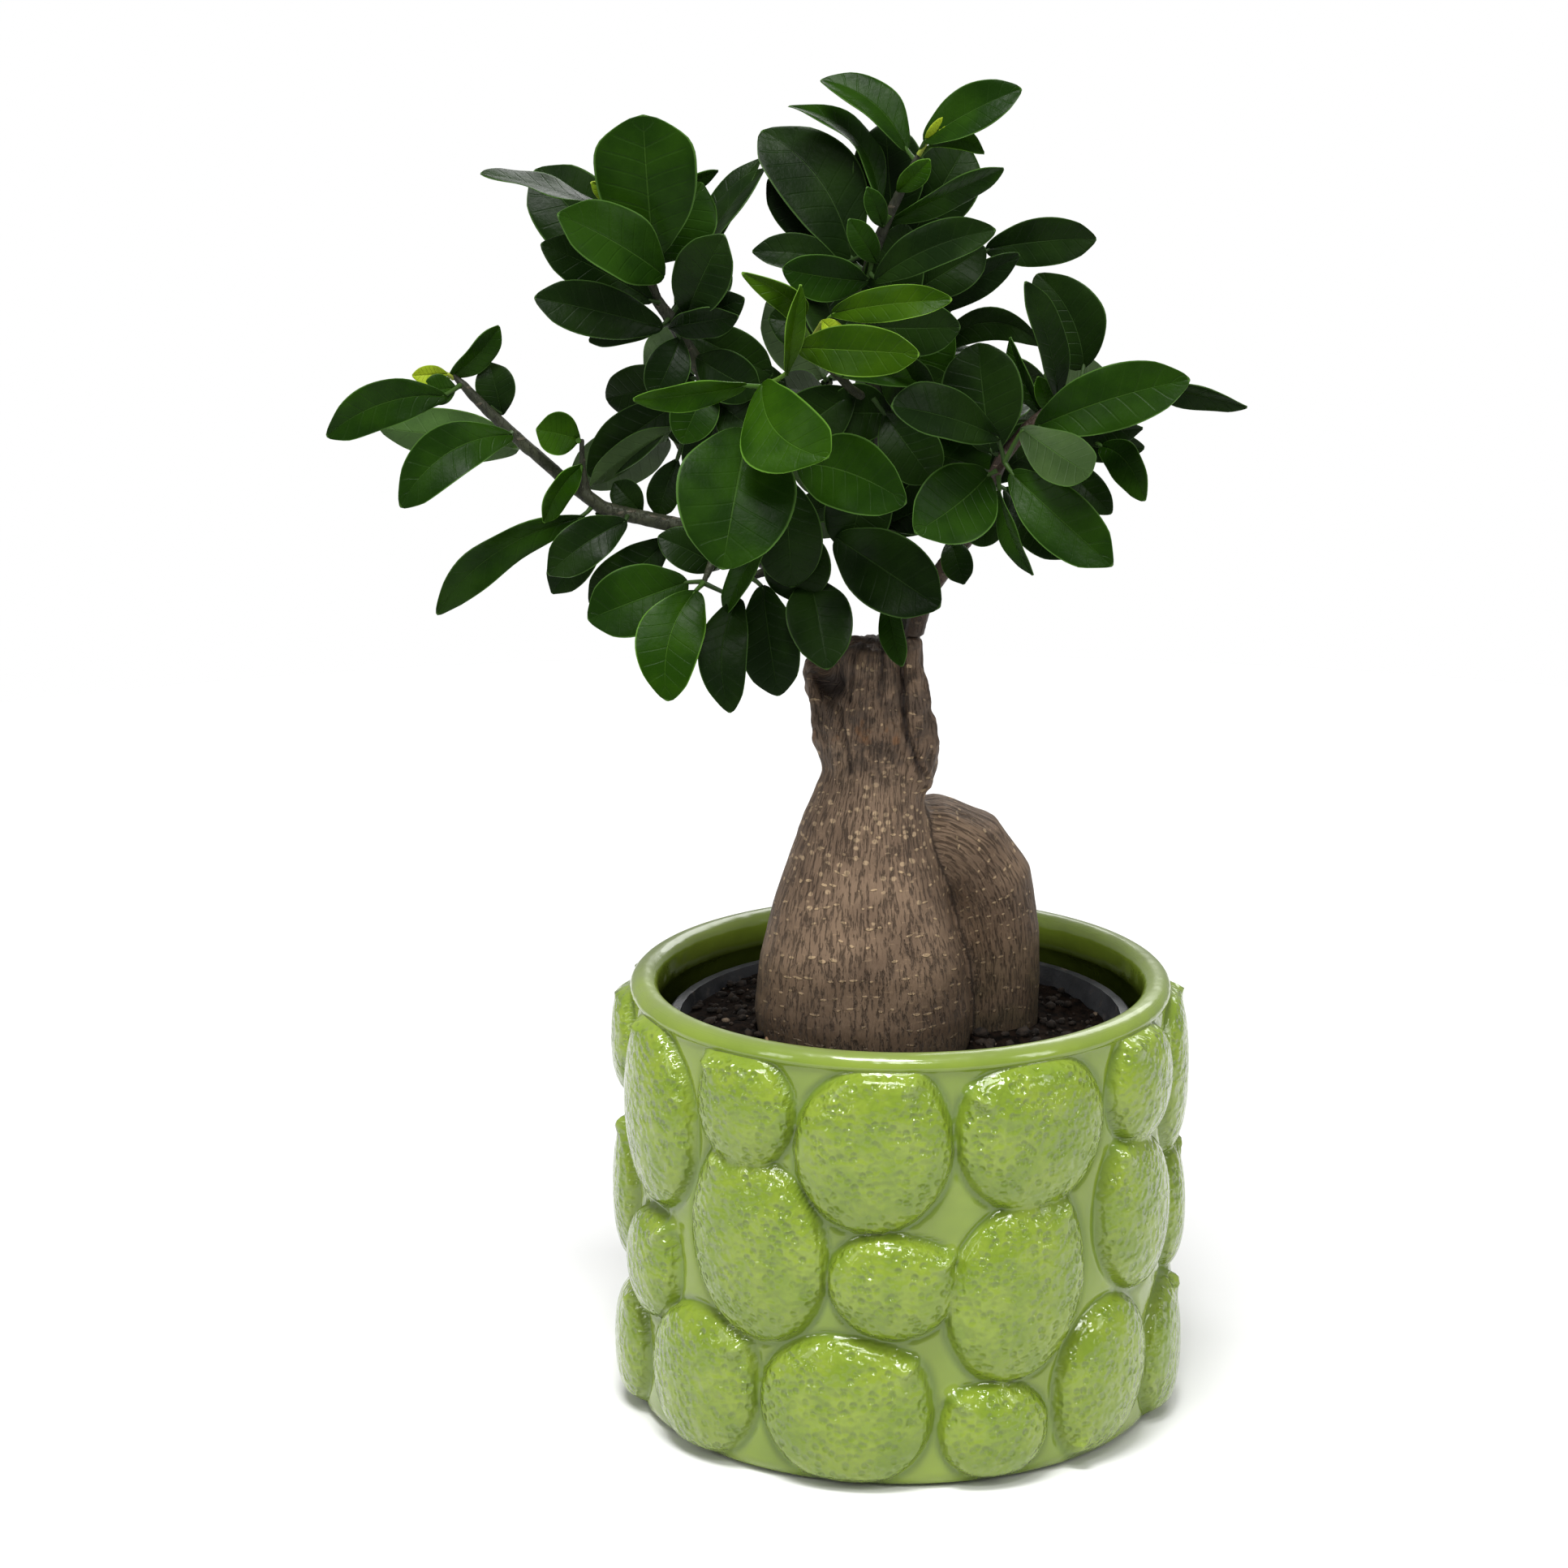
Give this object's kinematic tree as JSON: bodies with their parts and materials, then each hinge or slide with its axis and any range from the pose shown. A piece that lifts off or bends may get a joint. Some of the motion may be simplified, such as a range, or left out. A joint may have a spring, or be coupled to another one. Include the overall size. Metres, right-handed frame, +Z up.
{
  "type": "grafted ficus bonsai in a relief pot",
  "caption": "Small grafted ficus bonsai with a swollen root trunk and oval leaves, standing in soil in a plastic nursery pot inside a glazed cover pot with citrus fruit in relief.",
  "frame": {"origin": "middle of the cover pot's flat underside, on the surface that the pot stands on", "axes": "+Z up along the pot's axis; -Y towards the side seen from the front, with the cut trunk top in front; +X to the right seen from the front"},
  "size_m": [0.2278, 0.1493, 0.348],
  "materials": {
    "lime_glaze": "glossy",
    "grey_plastic": "matte",
    "dark_soil": "matte",
    "grey_brown_bark": "matte",
    "twig_bark": "matte",
    "dark_leaf": "satin",
    "young_leaf": "satin"
  },
  "bodies": {
    "root": {"ceramic_pot": "lime_glaze", "nursery_pot": "grey_plastic", "soil": "dark_soil", "rootstock": "grey_brown_bark", "scion_left": "twig_bark", "scion_right": "twig_bark", "scion_rear": "twig_bark", "leaf_back_1": "dark_leaf", "leaf_back_2": "dark_leaf", "leaf_back_3": "dark_leaf", "leaf_back_4": "dark_leaf", "leaf_back_5": "dark_leaf", "leaf_back_6": "dark_leaf", "leaf_back_7": "dark_leaf", "leaf_front_1": "dark_leaf", "leaf_front_2": "dark_leaf", "leaf_front_3": "dark_leaf", "leaf_front_4": "dark_leaf", "leaf_front_5": "dark_leaf", "leaf_front_6": "dark_leaf", "leaf_front_7": "dark_leaf", "leaf_left_1": "dark_leaf", "leaf_left_2": "dark_leaf", "leaf_left_3": "dark_leaf", "leaf_left_4": "dark_leaf", "leaf_left_5": "dark_leaf", "leaf_left_6": "dark_leaf", "leaf_left_7": "dark_leaf", "leaf_left_8": "dark_leaf", "leaf_low_1": "dark_leaf", "leaf_low_2": "dark_leaf", "leaf_low_3": "dark_leaf", "leaf_low_4": "dark_leaf", "leaf_low_5": "dark_leaf", "leaf_low_6": "dark_leaf", "leaf_low_7": "dark_leaf", "leaf_right_1": "dark_leaf", "leaf_right_2": "dark_leaf", "leaf_right_3": "dark_leaf", "leaf_right_4": "dark_leaf", "leaf_right_5": "dark_leaf", "leaf_right_6": "dark_leaf", "leaf_right_7": "dark_leaf", "leaf_right_8": "dark_leaf", "leaf_top_left_1": "dark_leaf", "leaf_top_left_2": "dark_leaf", "leaf_top_left_3": "dark_leaf", "leaf_top_left_4": "dark_leaf", "leaf_top_left_5": "dark_leaf", "leaf_top_left_6": "dark_leaf", "leaf_top_left_7": "dark_leaf", "leaf_top_middle_1": "dark_leaf", "leaf_top_middle_2": "dark_leaf", "leaf_top_middle_3": "dark_leaf", "leaf_top_middle_4": "dark_leaf", "leaf_top_middle_5": "dark_leaf", "leaf_top_middle_6": "dark_leaf", "leaf_young_1": "young_leaf", "leaf_young_2": "young_leaf", "leaf_young_3": "young_leaf"}
  },
  "joints": []
}
